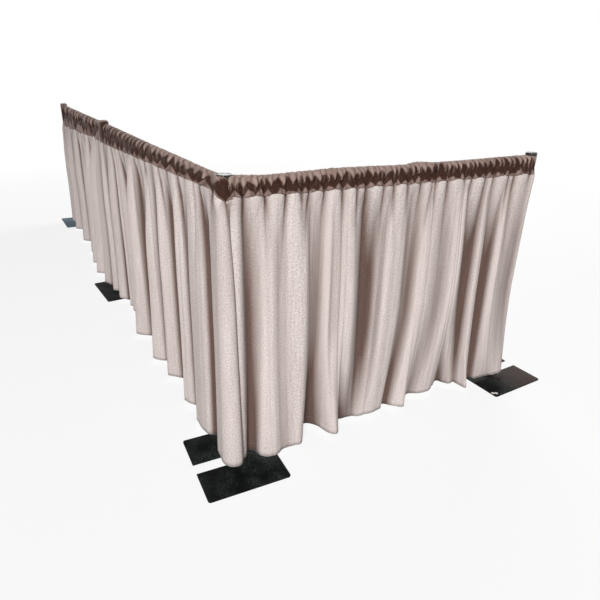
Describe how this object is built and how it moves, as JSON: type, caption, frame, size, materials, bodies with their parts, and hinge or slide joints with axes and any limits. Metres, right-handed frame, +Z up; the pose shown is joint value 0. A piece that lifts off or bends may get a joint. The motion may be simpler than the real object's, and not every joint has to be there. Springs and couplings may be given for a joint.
{
  "type": "pipe and drape backdrop",
  "caption": "Free-standing L-shaped pipe and drape wall: slotted uprights on base plates, telescoping crossbars and gathered rod-pocket drapes with a satin header.",
  "frame": {"origin": "on the floor under the axis of the corner upright", "axes": "+X along the short right wall, +Y along the long left wall, +Z up; the cloth hangs on the -X and -Y side"},
  "size_m": [1.9482, 4.7901, 1.2235],
  "materials": {
    "post_aluminium": "satin mill",
    "bar_aluminium": "satin mill",
    "cap_plastic": "gloss black",
    "hook_plastic": "matte black",
    "bush_plastic": "matte natural",
    "rivet_steel": "plain",
    "spigot_steel": "zinc plated",
    "plate_paint": "semi-gloss black powder coat, dusty",
    "drape_cloth": "matte woven greige",
    "header_satin": "brown satin"
  },
  "bodies": {
    "corner_post": {"corner_upright": "post_aluminium", "corner_cap": "cap_plastic", "right_bar_fixed_hook": "hook_plastic", "right_bar_outer_tube": "bar_aluminium", "right_bar_fixed_rivet": "rivet_steel", "right_bar_guide_bush": "bush_plastic", "left_near_bar_fixed_hook": "hook_plastic", "left_near_bar_outer_tube": "bar_aluminium", "left_near_bar_fixed_rivet": "rivet_steel", "left_near_bar_guide_bush": "bush_plastic", "right_first_panel": "drape_cloth", "right_first_rod_pocket": "header_satin", "right_second_panel": "drape_cloth", "right_second_rod_pocket": "header_satin", "left_near_panel": "drape_cloth", "left_near_rod_pocket": "header_satin"},
    "corner_base": {"corner_base_plate": "plate_paint", "corner_spigot": "spigot_steel"},
    "right_post": {"right_upright": "post_aluminium", "right_cap": "cap_plastic", "right_bar_inner_tube": "bar_aluminium", "right_bar_sliding_hook": "hook_plastic", "right_bar_sliding_rivet": "rivet_steel"},
    "right_base": {"right_base_plate": "plate_paint", "right_spigot": "spigot_steel"},
    "middle_post": {"middle_upright": "post_aluminium", "middle_cap": "cap_plastic", "left_near_bar_inner_tube": "bar_aluminium", "left_near_bar_sliding_hook": "hook_plastic", "left_near_bar_sliding_rivet": "rivet_steel", "left_far_bar_fixed_hook": "hook_plastic", "left_far_bar_outer_tube": "bar_aluminium", "left_far_bar_fixed_rivet": "rivet_steel", "left_far_bar_guide_bush": "bush_plastic", "left_far_panel": "drape_cloth", "left_far_rod_pocket": "header_satin"},
    "middle_base": {"middle_base_plate": "plate_paint", "middle_spigot": "spigot_steel"},
    "left_post": {"left_upright": "post_aluminium", "left_cap": "cap_plastic", "left_far_bar_inner_tube": "bar_aluminium", "left_far_bar_sliding_hook": "hook_plastic", "left_far_bar_sliding_rivet": "rivet_steel"},
    "left_base": {"left_base_plate": "plate_paint", "left_spigot": "spigot_steel"}
  },
  "joints": [
    {"name": "right_bar_slide", "type": "slide", "parent": "corner_post", "child": "right_post", "axis": [1, 0, 0], "range_m": [0, 0.914]},
    {"name": "left_near_bar_slide", "type": "slide", "parent": "corner_post", "child": "middle_post", "axis": [0, 1, 0], "range_m": [0, 1.524]},
    {"name": "left_far_bar_slide", "type": "slide", "parent": "middle_post", "child": "left_post", "axis": [0, 1, 0], "range_m": [0, 1.524]},
    {"name": "corner_base_turn", "type": "hinge", "parent": "corner_post", "child": "corner_base", "pos_m": [0, 0, 0], "axis": [0, 0, 1], "continuous": true},
    {"name": "right_base_turn", "type": "hinge", "parent": "right_post", "child": "right_base", "pos_m": [1.5748, 0, 0], "axis": [0, 0, 1], "continuous": true},
    {"name": "middle_base_turn", "type": "hinge", "parent": "middle_post", "child": "middle_base", "pos_m": [0, 2.1844, 0], "axis": [0, 0, 1], "continuous": true},
    {"name": "left_base_turn", "type": "hinge", "parent": "left_post", "child": "left_base", "pos_m": [0, 4.3688, 0], "axis": [0, 0, 1], "continuous": true}
  ]
}
